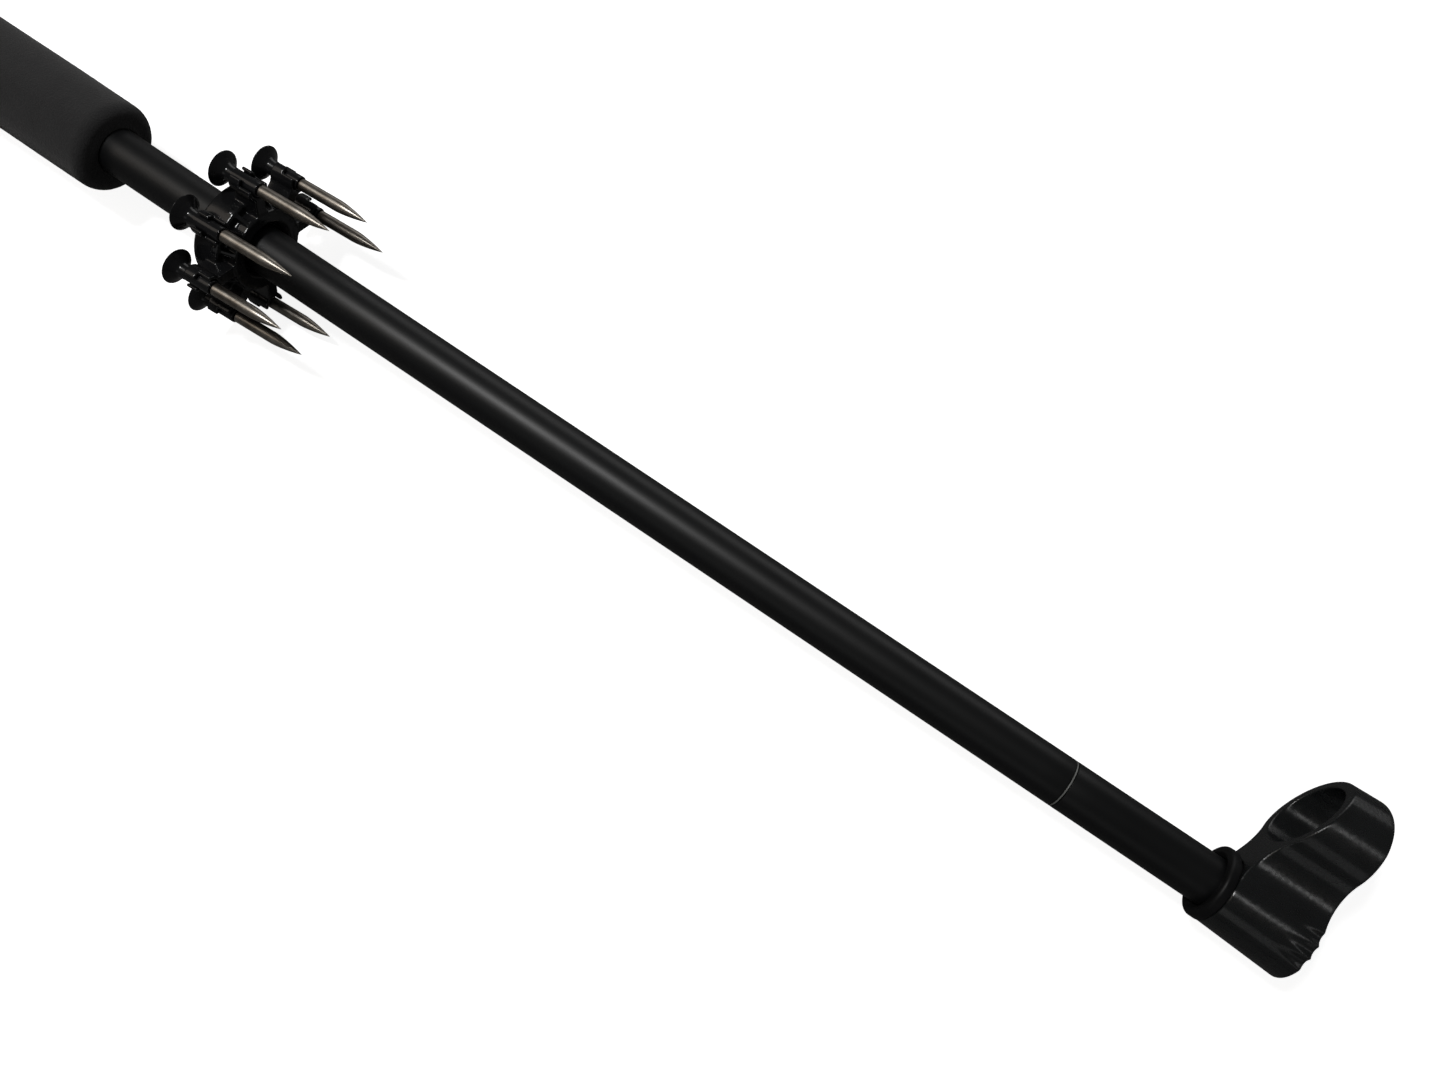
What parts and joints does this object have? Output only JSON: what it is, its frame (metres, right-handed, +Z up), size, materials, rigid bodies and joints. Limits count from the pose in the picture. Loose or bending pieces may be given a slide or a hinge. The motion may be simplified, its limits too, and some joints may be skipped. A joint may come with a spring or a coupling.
{
  "type": "blowgun",
  "caption": "Slim take-down blowgun tube with a foam grip, a push-on mouthpiece, a clip-on quiver of spike darts, a muzzle guard and a waisted muzzle holder with a side ring.",
  "frame": {"origin": "bottom centre of the bounding box, level with the lowest dart cone", "axes": "+X along the barrel towards the muzzle, +Y to the side where the muzzle holder reaches out, +Z up"},
  "size_m": [0.61, 0.0756, 0.0572],
  "materials": {
    "anodised": "satin black anodised",
    "bare_metal": "bare turned edge",
    "foam": "fine closed-cell foam rubber",
    "gloss_plastic": "glossy moulded black",
    "soft_plastic": "satin soft vinyl",
    "rubber": "matte",
    "printed_plastic": "3-D printed satin black with fine layer lines",
    "steel": "bright drawn"
  },
  "bodies": {
    "barrel": {"rear_barrel": "anodised", "main_barrel": "anodised", "seam_ring": "bare_metal", "foam_grip": "foam"},
    "mouthpiece": {"mouthpiece": "gloss_plastic", "mouthpiece_seal": "rubber"},
    "muzzle_section": {"front_barrel": "anodised"},
    "muzzle_guard": {"muzzle_guard": "soft_plastic"},
    "muzzle_holder": {"muzzle_holder": "printed_plastic"},
    "quiver": {"quiver_body": "gloss_plastic"},
    "dart_1": {"dart_1_tail": "gloss_plastic", "dart_1_spike": "steel"},
    "dart_2": {"dart_2_tail": "gloss_plastic", "dart_2_spike": "steel"},
    "dart_3": {"dart_3_tail": "gloss_plastic", "dart_3_spike": "steel"},
    "dart_4": {"dart_4_tail": "gloss_plastic", "dart_4_spike": "steel"},
    "dart_5": {"dart_5_tail": "gloss_plastic", "dart_5_spike": "steel"},
    "dart_6": {"dart_6_tail": "gloss_plastic", "dart_6_spike": "steel"},
    "dart_7": {"dart_7_tail": "gloss_plastic", "dart_7_spike": "steel"},
    "dart_8": {"dart_8_tail": "gloss_plastic", "dart_8_spike": "steel"}
  },
  "joints": [
    {"name": "mouthpiece_pull", "type": "slide", "parent": "barrel", "child": "mouthpiece", "axis": [-1, 0, 0], "range_m": [0, 0.03]},
    {"name": "quiver_slide", "type": "slide", "parent": "barrel", "child": "quiver", "axis": [1, 0, 0], "range_m": [0, 0.3]},
    {"name": "muzzle_section_pull", "type": "slide", "parent": "barrel", "child": "muzzle_section", "axis": [1, 0, 0], "range_m": [0, 0.05]},
    {"name": "guard_pull", "type": "slide", "parent": "muzzle_section", "child": "muzzle_guard", "axis": [1, 0, 0], "range_m": [0, 0.035]},
    {"name": "holder_turn", "type": "hinge", "parent": "muzzle_guard", "child": "muzzle_holder", "pos_m": [0.29, -0.00885, 0.02888], "axis": [1, 0, 0], "continuous": true},
    {"name": "dart_1_pull", "type": "slide", "parent": "quiver", "child": "dart_1", "axis": [-0.9987, -0.0441, -0.0265], "range_m": [0, 0.04]},
    {"name": "dart_2_pull", "type": "slide", "parent": "quiver", "child": "dart_2", "axis": [-0.9987, -0.0441, -0.0265], "range_m": [0, 0.04]},
    {"name": "dart_3_pull", "type": "slide", "parent": "quiver", "child": "dart_3", "axis": [-0.9987, -0.0441, -0.0265], "range_m": [0, 0.04]},
    {"name": "dart_4_pull", "type": "slide", "parent": "quiver", "child": "dart_4", "axis": [-0.9987, -0.0441, -0.0265], "range_m": [0, 0.04]},
    {"name": "dart_5_pull", "type": "slide", "parent": "quiver", "child": "dart_5", "axis": [-0.9987, -0.0441, -0.0265], "range_m": [0, 0.04]},
    {"name": "dart_6_pull", "type": "slide", "parent": "quiver", "child": "dart_6", "axis": [-0.9987, -0.0441, -0.0265], "range_m": [0, 0.04]},
    {"name": "dart_7_pull", "type": "slide", "parent": "quiver", "child": "dart_7", "axis": [-0.9987, -0.0441, -0.0265], "range_m": [0, 0.04]},
    {"name": "dart_8_pull", "type": "slide", "parent": "quiver", "child": "dart_8", "axis": [-0.9987, -0.0441, -0.0265], "range_m": [0, 0.04]}
  ]
}
